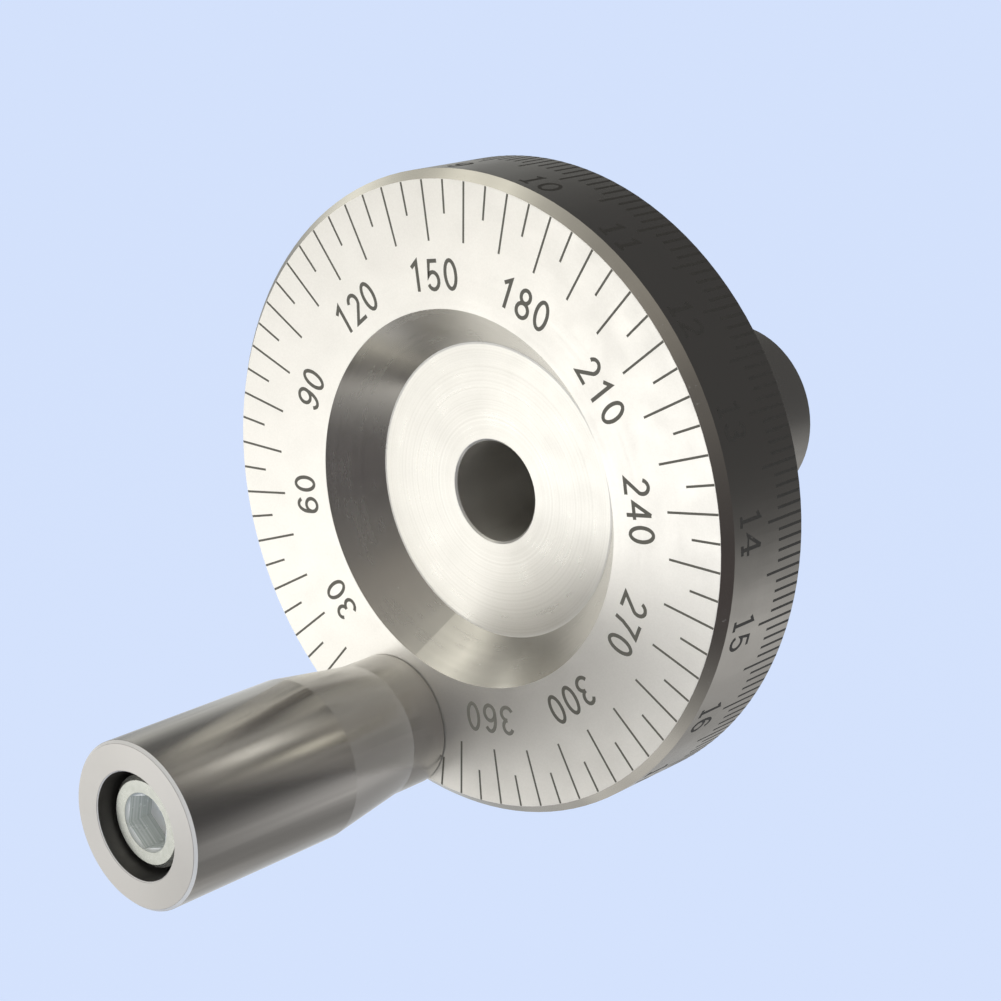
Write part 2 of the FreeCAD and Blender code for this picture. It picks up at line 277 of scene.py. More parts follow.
# %% Wheel material
# Sizes of the patterns in mm. Real rings are about 0.1 mm apart and the lapped grain is finer
# still. Both are drawn as coarse as they need to be to show.
FINE_RINGS = 0.45
BROAD_RINGS = 0.9
GRAIN = 1 / 3
WEAR_CLOUDS = 6.25
NICKS = 0.625
RING_DEPTH = 0.006 * MM
# Noise peaks where it is above these levels.
CLOUD_PEAK = 0.56
NICK_PEAK = 0.69

WHEEL_POLISH = 0.17
CLOUD_DULLNESS = 0.16


def make_wheel_metal():
    """Aluminium whose finish is picked by radius and depth."""
    material, tree, metal = new_material("turned_aluminium_wheel")
    radius, along, here = place_in_mm(tree)
    mask = wheel_masks(tree, radius, along)

    # Radius and depth together number the rings on every surface.
    profile = weighted_sum(tree, radius, [(along, 2.0)])
    broad_rings = turning_marks(tree, profile, BROAD_RINGS, seed=40.0)
    fine_rings = turning_marks(tree, profile, FINE_RINGS, seed=7.0)
    grain = add_node(tree, "ShaderNodeTexNoise",
                     {"Vector": here, "Scale": 1 / GRAIN, "Detail": 3.0, "Roughness": 0.7})
    clouds = add_node(tree, "ShaderNodeTexNoise",
                      {"Vector": here, "Scale": 1 / WEAR_CLOUDS, "Detail": 3.0}).outputs["Fac"]

    # The bevel meets every bench edge, so it has a nick wherever clouds and specks both peak.
    specks = add_node(tree, "ShaderNodeTexNoise",
                      {"Vector": here, "Scale": 1 / NICKS, "Detail": 2.0}).outputs["Fac"]
    nicks = times(tree, mask["bevel"], between(tree, clouds, CLOUD_PEAK, FAR),
                  between(tree, specks, NICK_PEAK, FAR))

    # The reamed bore is the dullest surface. Wiping leaves clouds, brighter and duller by turns.
    roughness = weighted_sum(tree, WHEEL_POLISH - CLOUD_DULLNESS / 2, [
        (mask["dial"], 0.15), (mask["floor"], 0.10), (mask["wall"], 0.05), (mask["bore"], 0.30),
        (broad_rings, 0.06), (clouds, CLOUD_DULLNESS)])

    # Satin metal scatters part of the light every way, as if it were a little less metallic.
    # The rounded corner of the floor and the bevels of the bore lose most of their metal shine, so
    # they show as thin bright lines: painted highlights.
    metallic = weighted_sum(tree, 1.0, [
        (mask["dial"], -0.23), (mask["floor"], -0.17), (mask["wall"], -0.04),
        (mask["hub"], -0.04), (mask["bore"], -0.06), (nicks, -0.20),
        (mask["floor highlight"], -0.60), (mask["bore highlight"], -0.60)])

    floor_rings = times(tree, mask["floor"], fine_rings)
    shade = weighted_sum(tree, 0.0, [(grain.outputs["Fac"], 0.4), (floor_rings, 0.6)])
    colour = laid_over(tree, linear("#dad8d3"), [
        (mask["dial"], linear("#f8f5ee")), (mask["floor"], linear("#f8f6f0")),
        (mask["bevel"], linear("#d0cec8")), (shade, linear("#d2cfc6"))])
    set_patterns(tree, metal, {"Metallic": metallic, "Roughness": roughness, "Base Color": colour})

    ring_height = weighted_sum(tree, 0.0, [(fine_rings, 0.6), (broad_rings, 0.4)])
    ring_strength = weighted_sum(tree, 0.1, [(mask["floor"], 0.5)])
    give_relief(tree, metal, times(tree, ring_height, ring_strength), RING_DEPTH)
    smear_reflections(tree, metal, 0.75)
    return material


WHEEL_METAL = make_wheel_metal()
NODES["wheel_body"].material_slots[0].material = WHEEL_METAL
print("wheel finish:", WHEEL_METAL.name, "with", len(WHEEL_METAL.node_tree.nodes), "nodes")


# %% [markdown]
# The grip: polished aluminium
#
# The grip is turned and then polished on the lathe, which leaves rings too fine to see. They
# smear each reflection along the handle. A brushed texture would show as scratches up close,
# so the shader smears by itself, over a faint relief. The polishing wheel can't reach the
# taper by the neck, which stays duller and paler. The end face is faced, so it is more satin.
# Its two edges are painted near white, a painted highlight. The pocket round the screw is dull
# as the cutter left it, and painted dark as painted shade in the gap round the screw head.

# %% Grip material
GRIP_EDGE = 0.55 * MM
POCKET_RADIUS = 10.5 * MM
NECK_LENGTH = 8.9 * MM
TAPER_LENGTH = 18.6 * MM
# In mm. Real polishing rings are much finer. These are as coarse as they need to be to show.
POLISHING_RINGS = 0.5
POLISHING_DEPTH = 0.0015 * MM
# Rub marks per mm: 20 times as long along the handle as they are wide.
RUB_MARKS = (0.6, 0.03, 0.6)


def grip_masks(tree, radius, along):
    """One mask for each surface of the grip, and how far along the taper a point is."""
    end_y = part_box("handle_grip")[0].y / MM
    pocket_radius = POCKET_RADIUS / MM + NEAR
    at_edges = between(tree, along, end_y + NEAR, end_y + GRIP_EDGE / MM)
    past_end = between(tree, along, end_y + NEAR, FAR)
    taper_y = (DIAL_Y - NECK_LENGTH - TAPER_LENGTH) / MM
    way = weighted_sum(tree, -taper_y * MM / TAPER_LENGTH, [(along, MM / TAPER_LENGTH)])
    return {
        "end": between(tree, along, end_y - NEAR, end_y + NEAR),
        "edges": times(tree, at_edges, between(tree, radius, pocket_radius, FAR)),
        "pocket": times(tree, past_end, between(tree, radius, -FAR, pocket_radius)),
        "taper": between(tree, way, 0.0, 1.0),
        "past barrel": between(tree, way, 0.0, FAR),
        "way": way,
    }


def make_grip_metal():
    """Polished aluminium, satin on its end and paler towards its neck."""
    material, tree, metal = new_material("polished_aluminium_grip")
    radius, along, here = place_in_mm(tree, Vector((HANDLE_POINT.x, 0, HANDLE_POINT.z)))
    mask = grip_masks(tree, radius, along)
    stretched = add_node(tree, "ShaderNodeMapping", {"Vector": here, "Scale": RUB_MARKS})
    rubbed = add_node(tree, "ShaderNodeTexNoise",
                      {"Vector": stretched.outputs[0], "Scale": 1.0, "Detail": 4.0,
                       "Roughness": 0.65}).outputs["Fac"]
    roughness = weighted_sum(tree, 0.13, [
        (mask["end"], 0.14), (mask["past barrel"], 0.08), (mask["pocket"], 0.25), (rubbed, 0.08)])

    # Most of the paleness comes in the last part of the taper, next to the neck.
    unpolished = add_node(tree, "ShaderNodeMath",
                          {0: times(tree, mask["way"], mask["taper"]), 1: 6.0}, operation="POWER")
    # The front edges lose most of their shine here and are painted near white below: a painted
    # highlight.
    metallic = weighted_sum(tree, 1.0, [
        (mask["edges"], -0.80), (mask["taper"], -0.07), (unpolished.outputs[0], -0.09)])
    # The pocket is painted dark as painted shade in the gap round the screw head.
    colour = laid_over(tree, linear("#e4e2de"), [
        (mask["end"], linear("#bdbbb8")), (mask["pocket"], linear("#7b7977")),
        (mask["edges"], linear("#f4f3f0"))])
    set_patterns(tree, metal, {"Metallic": metallic, "Roughness": roughness, "Base Color": colour})

    profile = weighted_sum(tree, radius, [(along, 1.0)])
    rings = turning_marks(tree, profile, POLISHING_RINGS, seed=11.0)
    give_relief(tree, metal, rings, POLISHING_DEPTH)
    smear_reflections(tree, metal, 0.8)
    return material


GRIP_METAL = make_grip_metal()
NODES["handle_grip"].material_slots[0].material = GRIP_METAL
print("grip finish:", GRIP_METAL.name, "with", len(GRIP_METAL.node_tree.nodes), "nodes")


# %% [markdown]
# Steel: the plain sleeve and the black set screws
#
# The sleeve is ground steel. Set screws are dipped in hot black oxide, a dark coat that is
# only half as shiny as the steel under it. A flat colour would look like plastic, so both
# colour and shine wander a little over spots of a real size. One function serves both.

# %% Steel materials
STEEL_RELIEF = 0.004 * MM


def make_steel(name, shade, light, metallic, roughness_low, roughness_range, mottle_mm):
    """Steel whose colour and shine wander a little over spots of a real size."""
    material, tree, metal = new_material(name)
    _, _, here = place_in_mm(tree)
    mottle = add_node(tree, "ShaderNodeTexNoise",
                      {"Vector": here, "Scale": 1 / mottle_mm, "Detail": 4.0}).outputs["Fac"]
    metal.inputs["Metallic"].default_value = metallic
    set_patterns(tree, metal, {
        "Base Color": laid_over(tree, linear(shade), [(mottle, linear(light))]),
        "Roughness": weighted_sum(tree, roughness_low, [(mottle, roughness_range)])})
    give_relief(tree, metal, mottle, STEEL_RELIEF)
    return material


GROUND = make_steel("ground_steel_sleeve", "#9c9b98", "#b4b3b0", metallic=1.0,
                    roughness_low=0.2, roughness_range=0.15, mottle_mm=1.5)
BLACK_OXIDE = make_steel("black_oxide_set_screw", "#1d1d1f", "#2f2f31", metallic=0.6,
                         roughness_low=0.3, roughness_range=0.2, mottle_mm=0.6)
for node_name, steel in (("handle_sleeve", GROUND), ("lower_set_screw", BLACK_OXIDE),
                         ("side_set_screw", BLACK_OXIDE)):
    NODES[node_name].material_slots[0].material = steel
    print(node_name, "is", steel.name)

# %% [markdown]
# The handle screw: zinc-plated steel
#
# Zinc plating is a thin crystalline coat: pale, a little green, and mottled rather than
# mirror-like. Inside the hexagon the coat is painted near white, a painted highlight for the
# light that its walls catch, over the steps that the broach left, whose light and dark bands
# are partly painted shading. Its floor is painted white as a painted highlight too. The
# hexagon could have a material of its own, but its place in the middle of the head is enough
# to tell it apart.

# %% Screw material
SOCKET_RADIUS = 6.5 * MM
SOCKET_DEPTH = 6.0 * MM
# In mm. Real crystals and broach steps are finer, and would vanish in the render.
ZINC_CRYSTALS = 5 / 3
BROACH_STEPS = 0.4
ZINC_RELIEF = 0.006 * MM


def make_zinc():
    """Zinc plating, grey outside and painted white in the hexagon as a painted highlight."""
    material, tree, metal = new_material("zinc_plated_steel_screw")
    radius, along, here = place_in_mm(tree, Vector((HANDLE_POINT.x, 0, HANDLE_POINT.z)))
    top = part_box("handle_screw")[0].y / MM
    inside = times(tree, between(tree, radius, -FAR, SOCKET_RADIUS / MM),
                   between(tree, along, top + NEAR, FAR))
    bottom = times(tree, inside, between(tree, along, top + SOCKET_DEPTH / MM - 2 * NEAR, FAR))
    mottle = add_node(tree, "ShaderNodeTexNoise",
                      {"Vector": here, "Scale": 1 / ZINC_CRYSTALS, "Detail": 4.0}).outputs["Fac"]
    steps = turning_marks(tree, along, BROACH_STEPS, seed=3.0)
    plain = laid_over(tree, linear("#b6b9b0"), [(mottle, linear("#d8d9d1"))])
    # Painted highlight: the hexagon's walls are near white over the broach steps, and below, its floor
    # is white.
    socket_steps_and_highlight = laid_over(tree, linear("#98a69a"), [(steps, linear("#ffffff"))])
    set_patterns(tree, metal, {
        "Base Color": laid_over(tree, plain, [(inside, socket_steps_and_highlight), (bottom, linear("#ffffff"))]),
        "Roughness": weighted_sum(tree, 0.2, [(mottle, 0.12), (bottom, 0.35)]),
        "Metallic": weighted_sum(tree, 0.75, [(inside, -0.6)])})
    give_relief(tree, metal, mottle, ZINC_RELIEF)
    return material


ZINC = make_zinc()
NODES["handle_screw"].material_slots[0].material = ZINC
print("handle_screw is", ZINC.name)

# %% [markdown]
# The paint in the engraving
#
# The engraving is filled with enamel and wiped. What stays stands about a hundredth of a
# millimetre proud and covers the edges of each cut. On the dial it is a dark olive grey, and
# on the rim nearly black. The colour could be drawn on the metal by a mask, but thin pieces
# of their own keep sharp edges however near the eye comes. Enamel is not a metal: it has a
# plain colour and a soft shine.

# %% Paint
# In mm, how far apart the paint's patches are.
PAINT_PATCHES = 10 / 9


def make_paint(name, shade, light):
    """Enamel with slightly paler and duller patches."""
    material, tree, enamel = new_material(name)
    _, _, here = place_in_mm(tree)
    patches = add_node(tree, "ShaderNodeTexNoise",
                       {"Vector": here, "Scale": 1 / PAINT_PATCHES, "Detail": 3.0}).outputs["Fac"]
    set_patterns(tree, enamel, {
        "Base Color": laid_over(tree, linear(shade), [(patches, linear(light))]),
        "Roughness": weighted_sum(tree, 0.45, [(patches, 0.2)])})
    return material


DIAL_PAINT = make_paint("dark_enamel_dial", "#5c5a50", "#6e6b60")
RIM_PAINT = make_paint("black_enamel_rim", "#3a3936", "#474542")
# The number beside the handle is rubbed by the hand, so most of its paint has gone.
WORN_PAINT = make_paint("worn_enamel_dial", "#7a776c", "#908d82")
print("paints:", DIAL_PAINT.name, RIM_PAINT.name, WORN_PAINT.name)

# %% [markdown]
# Lines round a circle, with Geometry Nodes
#
# A scale is one line repeated round a circle, with every so many lines a longer one. An Array
# modifier could repeat it, but only with one length. Geometry Nodes follow the whole rule:
# points are set out on a circle by their index, one small prism is put on each, turned to face
# outwards and stretched to its length. The same tree serves the dial, whose lines run along a
# radius, and the rim, whose lines run along Y.

# %% The tree that sets out a scale
def make_scale_tree():
    """Lines round the Y axis, every so many of them long."""
    tree = bpy.data.node_groups.new("engraved_scale", "GeometryNodeTree")
    sockets = tree.interface
    sockets.new_socket("Geometry", in_out="INPUT", socket_type="NodeSocketGeometry")
    for name, kind in (("Line", "Object"), ("Count", "Int"), ("Long Every", "Int"),
                       ("First Angle", "Float"), ("Start Radius", "Float"), ("Start Y", "Float"),
                       ("Short Length", "Float"), ("Long Length", "Float"),
                       ("Length Axis", "Vector"), ("Paint", "Material")):
        sockets.new_socket(name, in_out="INPUT", socket_type=f"NodeSocket{kind}")
    sockets.new_socket("Geometry", in_out="OUTPUT", socket_type="NodeSocketGeometry")

    given = add_node(tree, "NodeGroupInput").outputs
    index = add_node(tree, "GeometryNodeInputIndex").outputs[0]

    # Each point is turned about Y to its place, and its line by the same angle.
    points = add_node(tree, "GeometryNodeMeshLine", {"Count": given["Count"]})
    share = add_node(tree, "ShaderNodeMath", {0: index, 1: given["Count"]}, operation="DIVIDE")
    angle = weighted_sum(tree, given["First Angle"], [(share.outputs[0], math.tau)])
    start = add_node(tree, "ShaderNodeCombineXYZ",
                     {"X": given["Start Radius"], "Y": given["Start Y"]})
    spot = add_node(tree, "ShaderNodeVectorRotate",
                    {"Vector": start.outputs[0], "Angle": angle},
                    rotation_type="Y_AXIS", invert=True)
    circle = add_node(tree, "GeometryNodeSetPosition",
                      {"Geometry": points.outputs[0], "Position": spot.outputs[0]})
    turn = add_node(tree, "ShaderNodeVectorMath", {0: (0.0, -1.0, 0.0), "Scale": angle},
                    operation="SCALE")

    # A line is long where its index divides evenly, and stretches along its own axis only.
    rest = add_node(tree, "ShaderNodeMath", {0: index, 1: given["Long Every"]},
                    operation="MODULO")
    is_long = add_node(tree, "ShaderNodeMath", {0: rest.outputs[0], 1: 0.5},
                       operation="LESS_THAN")
    length = add_node(tree, "GeometryNodeSwitch",
                      {"Switch": is_long.outputs[0], "False": given["Short Length"],
                       "True": given["Long Length"]}, input_type="FLOAT")
    stretch = weighted_sum(tree, -1.0, [(length.outputs[0], 1.0)])
    scale = add_node(tree, "ShaderNodeVectorMath",
                     {0: given["Length Axis"], 1: stretch, 2: (1.0, 1.0, 1.0)},
                     operation="MULTIPLY_ADD")

    line = add_node(tree, "GeometryNodeObjectInfo", {"Object": given["Line"]})
    lines = add_node(tree, "GeometryNodeInstanceOnPoints",
                     {"Points": circle.outputs[0], "Instance": line.outputs["Geometry"],
                      "Rotation": turn.outputs[0], "Scale": scale.outputs[0]})
    real = add_node(tree, "GeometryNodeRealizeInstances", {"Geometry": lines.outputs[0]})
    painted = add_node(tree, "GeometryNodeSetMaterial",
                       {"Geometry": real.outputs[0], "Material": given["Paint"]})
    add_node(tree, "NodeGroupOutput", {"Geometry": painted.outputs[0]})
    return tree


SCALE_TREE = make_scale_tree()
print("scale tree has", len(SCALE_TREE.nodes), "nodes")

# %% [markdown]
# One line and one ring of lines
#
# A line is a cut with a V-shaped section, full of paint. Its unit is a triangular prism one
# metre long, a little wider than the cut, with its tip down in the metal. The tree stretches
# it to the real length. Live instances would be lighter, but the result is read back as a
# plain mesh, because only real faces can be exported.

# %% Lines into pieces
LINE_DEPTH = 0.2 * MM
PAINT_LEVEL = 0.008 * MM


def link(piece):
    """Put an object in the scene, where it can be seen."""
    bpy.context.scene.collection.objects.link(piece)
    return piece


def add_paint(name, mesh):
    """A coat of paint, as a piece that rides on the wheel."""
    piece = link(bpy.data.objects.new(name, mesh))
    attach(piece, "wheel")
    print(name, "has", len(mesh.polygons), "faces")


def prism_mesh(name, triangle, reach):
    """A prism from a triangle of points, drawn out along a vector."""
    points = [Vector(point) for point in triangle]
    points += [point + Vector(reach) for point in points]
    mesh = bpy.data.meshes.new(name)
    mesh.from_pydata(points, [], [(0, 2, 1), (3, 4, 5), (0, 1, 4, 3), (1, 2, 5, 4), (2, 0, 3, 5)])
    return mesh


def make_scale(name, triangle, reach, values):
    """Run the scale tree on a prism that reaches one metre, and keep the result as paint."""
    unit = bpy.data.objects.new(f"{name}_unit", prism_mesh(f"{name}_unit", triangle, reach))
    holder = link(bpy.data.objects.new(name, bpy.data.meshes.new(f"{name}_holder")))
    modifier = holder.modifiers.new("scale", "NODES")
    modifier.node_group = SCALE_TREE
    inputs = {item.name: item.identifier for item in SCALE_TREE.interface.items_tree
              if item.in_out == "INPUT"}
    axis = [float(abs(part)) for part in reach]
    for key, value in dict(values, **{"Line": unit, "Length Axis": axis}).items():
        modifier[inputs[key]] = value
    bpy.context.view_layer.update()
    evaluated = holder.evaluated_get(bpy.context.evaluated_depsgraph_get())
    mesh = bpy.data.meshes.new_from_object(evaluated)
    bpy.data.objects.remove(holder)
    bpy.data.objects.remove(unit)
    mesh.name = name
    add_paint(name, mesh)


print("each cut is", round(LINE_DEPTH / MM, 2), "mm deep")

# %% Lines of the dial and the rim
# The enamel has crept over the edges of each cut, which is 0.38 mm wide, most of all on the rim.
HALF_DIAL_LINE = 0.23 * MM
HALF_RIM_LINE = 0.27 * MM

make_scale(
    "dial_lines_paint",
    [(0, -PAINT_LEVEL, HALF_DIAL_LINE), (0, -PAINT_LEVEL, -HALF_DIAL_LINE), (0, LINE_DEPTH, 0)],
    (-1, 0, 0),
    {"Count": 72, "Long Every": 2, "First Angle": HANDLE_ANGLE,
     "Start Radius": BEVEL_RADIUS - DIAL_LINE_SETBACK, "Start Y": DIAL_Y,
     "Short Length": 6.3 * MM - DIAL_LINE_SETBACK, "Long Length": 11.3 * MM - DIAL_LINE_SETBACK,
     "Paint": DIAL_PAINT})

make_scale(
    "rim_lines_paint",
    [(PAINT_LEVEL, 0, -HALF_RIM_LINE), (PAINT_LEVEL, 0, HALF_RIM_LINE), (-LINE_DEPTH, 0, 0)],
    (0, -1, 0),
    {"Count": 200, "Long Every": 5, "First Angle": RIM_ZERO_ANGLE, "Start Radius": RIM_RADIUS,
     "Start Y": RIM_BACK_Y - RIM_LINE_SETBACK, "Short Length": 7.4 * MM - RIM_LINE_SETBACK,
     "Long Length": 10.6 * MM - RIM_LINE_SETBACK, "Paint": RIM_PAINT})

# %% [markdown]
# Numbers drawn as an engraver draws them
#
# An engraving machine follows a groove, so each digit is one pen path with a constant width.
# A font would be quicker, but its strokes swell and thin as no cutter does. Each digit is
# written here as lines and arcs in a box one unit high. The dial's numbers are plain. The
# rim's have small feet on the 1 and the 4, as cut by another set of letters.

# %% Digit paths
def arc(centre_x, centre_y, radius_x, radius_y, start, stop, steps=14):
    """Points on an ellipse between two angles in degrees."""
    points = []
    for step in range(steps + 1):
        angle = math.radians(start + (stop - start) * step / steps)
        points.append((centre_x + radius_x * math.cos(angle), centre_y + radius_y * math.sin(angle)))
    return points


def ring(centre_x, centre_y, radius_x, radius_y):
    """A closed oval: its last point is its first."""
    return arc(centre_x, centre_y, radius_x, radius_y, 90, 450, 28)


SIX = [ring(0.28, 0.31, 0.23, 0.27), [(0.05, 0.31), (0.05, 0.5)] + arc(0.3, 0.5, 0.25, 0.46, 172, 42)]
PLAIN_DIGITS = {
    "0": [ring(0.28, 0.5, 0.23, 0.46)],
    "1": [[(0.1, 0.76), (0.34, 0.96), (0.34, -0.02)]],
    "2": [arc(0.28, 0.7, 0.22, 0.26, 168, -30) + [(0.05, 0.04), (0.54, 0.04)]],
    "3": [arc(0.26, 0.73, 0.2, 0.23, 160, -90), arc(0.26, 0.27, 0.24, 0.23, 90, -160)],
    "4": [[(0.42, -0.02), (0.42, 0.96)], [(0.42, 0.96), (0.03, 0.28), (0.57, 0.28)]],
    "5": [[(0.49, 0.96), (0.14, 0.96), (0.08, 0.5)] + arc(0.26, 0.32, 0.24, 0.28, 128, -155)],
    "6": SIX,
    "7": [[(0.04, 0.96), (0.52, 0.96), (0.34, 0.6), (0.24, 0.3), (0.2, -0.02)]],
    "8": [ring(0.28, 0.745, 0.19, 0.215), ring(0.28, 0.27, 0.235, 0.24)],
    "9": [[(0.56 - x, 1.0 - y) for x, y in path] for path in SIX],
}
ENGRAVED_DIGITS = dict(PLAIN_DIGITS)
ENGRAVED_DIGITS["1"] = [[(0.16, 0.86), (0.35, 0.98), (0.35, 0.0)], [(0.17, 0.0), (0.53, 0.0)]]
ENGRAVED_DIGITS["4"] = [[(0.5, 0.0), (0.5, 0.98)], [(0.5, 0.98), (0.06, 0.3), (0.72, 0.3)],
                        [(0.34, 0.0), (0.66, 0.0)]]
print("pen strokes in each digit:", [len(PLAIN_DIGITS[digit]) for digit in "0123456789"])

# %% [markdown]
# From a path to a ribbon of paint
#
# A number is a flat coat of paint that follows the metal, bent on the rim. A curve with a
# bevel would make round tubes, and it twists where its path turns. Here a function turns
# across and up into a point on the metal and the direction out of it. The ribbon is then
# built point by point: two edges above the metal and two below it, mitred at the corners. An
# open stroke is capped at both ends.

# %% Ribbon builder
PAINT_ABOVE = 0.012 * MM
PAINT_STEP = 0.004 * MM
PAINT_BELOW = 0.08 * MM
# The sharpest corners keep a blunt mitre, so that no spike sticks out.
LEAST_MITRE = 0.35
SAME_POINT = 1e-6
# A digit's box is a little over half as wide as it is high.
DIGIT_WIDTH = 0.56


def lay_path(path, surface, stroke, above, points, faces):
    """Add one path's ribbon, its top a little above the metal, to lists of points and faces."""
    placed = [surface(across, up) for across, up in path]
    closed = math.dist(path[0], path[-1]) < SAME_POINT
    if closed:
        placed = placed[:-1]
    count = len(placed)
    first = len(points)
    # At an open end there is a neighbour on one side only, and its direction serves for both.
    for index, (here, out) in enumerate(placed):
        before = placed[(index - 1) % count][0] if closed or index > 0 else None
        after = placed[(index + 1) % count][0] if closed or index < count - 1 else None
        into = (here - before).normalized() if before is not None else (after - here).normalized()
        onward = (after - here).normalized() if after is not None else into
        side_in = out.cross(into)
        side_out = out.cross(onward)
        side = (side_in + side_out).normalized()
        edge = side * stroke / 2 / max(LEAST_MITRE, side.dot(side_in))
        up = out * above
        down = -out * PAINT_BELOW
        points += [here + edge + up, here - edge + up, here - edge + down, here + edge + down]
    spans = count if closed else count - 1
    for index in range(spans):
        a = first + 4 * index
        b = first + 4 * ((index + 1) % count)
        for corner in range(4):
            following = (corner + 1) % 4
            faces.append((a + corner, a + following, b + following, b + corner))
    if not closed:
        last = first + 4 * (count - 1)
        faces.append((first + 3, first + 2, first + 1, first))
        faces.append((last, last + 1, last + 2, last + 3))


def lay_number(text, digits, height, advance, stroke, surface, points, faces):
    """Centre a number on its place and lay each digit's paths on the surface."""
    unit = height - stroke
    width = advance * (len(text) - 1) + DIGIT_WIDTH * unit
    for place, digit in enumerate(text):
        left = place * advance - width / 2
        # Where two strokes cross, a small step keeps their tops from lying in one plane.
        for layer, path in enumerate(digits[digit]):
            moved = [(left + x * unit, (y - 0.5) * unit) for x, y in path]
            above = PAINT_ABOVE + layer * PAINT_STEP
            lay_path(moved, surface, stroke, above, points, faces)


def make_numbers(name, points, faces, paint):
    """Turn laid numbers into one coat of paint."""
    mesh = bpy.data.meshes.new(name)
    mesh.from_pydata(points, [], faces)
    mesh.materials.append(paint)
    add_paint(name, mesh)


print("paint stands", round(PAINT_ABOVE / MM, 3), "mm above the metal")

# %% [markdown]
# Where the numbers stand
#
# The dial has a number every 30 degrees, with its top away from the bore. The rim has one at
# every tenth line, with its top towards the hub. Each number could be a piece of its own, but
# all that share a paint make one piece, which is lighter to handle. Only the rubbed number,
# whose paint is paler, stands alone.

# %% Numbers on the dial
DIAL_NUMBER_RADIUS = 43.1 * MM
DIAL_NUMBER_HEIGHT = 6.5 * MM
DIAL_NUMBER_ADVANCE = 4.4 * MM
DIAL_NUMBER_STROKE = 0.75 * MM
# The place at 330 degrees is marked 360, and the place under the handle has no number.
DIAL_NUMBERS = {angle: str(angle) for angle in range(30, 301, 30)}
WORN_PLACE = 330
DIAL_NUMBERS[WORN_PLACE] = "360"


def dial_surface(number_angle):
    """The dial plane round one number, whose top points away from the bore."""
    angle = HANDLE_ANGLE - math.radians(number_angle)
    outward = Vector((math.cos(angle), 0, math.sin(angle)))
    out_of_face = Vector((0, -1, 0))
    rightward = outward.cross(out_of_face)
    centre = Vector((0, DIAL_Y, 0)) + outward * DIAL_NUMBER_RADIUS

    def surface(across, up):
        return centre + rightward * across + outward * up, out_of_face
    return surface


def make_dial_numbers(name, number_angles, paint):
    """The numbers at these angles from the handle, in one coat of paint."""
    points, faces = [], []
    for number_angle in number_angles:
        lay_number(DIAL_NUMBERS[number_angle], PLAIN_DIGITS, DIAL_NUMBER_HEIGHT,
                   DIAL_NUMBER_ADVANCE, DIAL_NUMBER_STROKE, dial_surface(number_angle),
                   points, faces)
    make_numbers(name, points, faces, paint)


make_dial_numbers("dial_numbers_paint", [place for place in DIAL_NUMBERS if place != WORN_PLACE],
                  DIAL_PAINT)
make_dial_numbers("worn_number_paint", [WORN_PLACE], WORN_PAINT)

# %% Numbers on the rim
RIM_NUMBERS = 20
RIM_NUMBER_SETBACK = 6.8 * MM
RIM_NUMBER_HEIGHT = 6.3 * MM
RIM_NUMBER_ADVANCE = 4.3 * MM
RIM_NUMBER_STROKE = 0.7 * MM


def rim_surface(number):
    """The rim round one number: across bends round the rim, and up runs back along it."""
    middle = RIM_ZERO_ANGLE - math.tau * number / RIM_NUMBERS

    def surface(across, up):
        angle = middle - across / RIM_RADIUS
        out = Vector((math.cos(angle), 0, math.sin(angle)))
        return out * RIM_RADIUS + Vector((0, DIAL_Y + RIM_NUMBER_SETBACK + up, 0)), out
    return surface


rim_points, rim_faces = [], []
for number in range(RIM_NUMBERS):
    lay_number(str(number), ENGRAVED_DIGITS, RIM_NUMBER_HEIGHT, RIM_NUMBER_ADVANCE,
               RIM_NUMBER_STROKE, rim_surface(number), rim_points, rim_faces)
make_numbers("rim_numbers_paint", rim_points, rim_faces, RIM_PAINT)

# %% [markdown]
# The ground
#
# The wheel is photographed as for a catalogue, on a plain pale blue ground. The colour could
# come from strong light on a white floor, but then the metal would burn out. So the ground
# shows its own colour to the camera and to mirrors, and keeps only a faint shadow. The world
# does the same above the horizon, and gives paint and satin metal a soft even light.

# %% Ground and world
BACKGROUND = "#d3e1fc"
FLOOR_Z = -0.32
FLOOR_RADIUS = 14.0
FLOOR_SIDES = 96
SHADOW_SHARE = 0.08
# The lamps reach the ground at half strength, so its own light makes up the rest.
GROUND_GLOW = 1.045
AMBIENT = "#f4f2ee"
AMBIENT_LEVEL = 0.55


def seen_directly(tree):
    """1 for rays from the camera and for reflected and refracted ones."""
    path = add_node(tree, "ShaderNodeLightPath").outputs
    seen = path["Is Camera Ray"]
    for kind in ("Is Glossy Ray", "Is Transmission Ray"):
        seen = add_node(tree, "ShaderNodeMath", {0: seen, 1: path[kind]},
                        operation="MAXIMUM").outputs[0]
    return seen


def make_floor():
    """A wide disc below the wheel: matt for its shadow, and glowing for whoever looks at it."""
    material = bpy.data.materials.new("pale_blue_ground")
    material.use_nodes = True
    tree = material.node_tree
    tree.nodes.clear()
    matt = add_node(tree, "ShaderNodeBsdfDiffuse", {"Color": linear(BACKGROUND)})
    glow = add_node(tree, "ShaderNodeEmission", {"Color": linear(BACKGROUND), "Strength": GROUND_GLOW})
    share = times(tree, seen_directly(tree), 1 - SHADOW_SHARE)
    both = add_node(tree, "ShaderNodeMixShader", {0: share, 1: matt.outputs[0], 2: glow.outputs[0]})
    add_node(tree, "ShaderNodeOutputMaterial", {"Surface": both.outputs[0]})
    turns = [math.tau * side / FLOOR_SIDES for side in range(FLOOR_SIDES)]
    points = [(FLOOR_RADIUS * math.cos(turn), FLOOR_RADIUS * math.sin(turn), FLOOR_Z) for turn in turns]
    mesh = bpy.data.meshes.new("floor")
    mesh.from_pydata(points, [], [tuple(range(FLOOR_SIDES))])
    mesh.materials.append(material)
    floor = link(bpy.data.objects.new("floor", mesh))


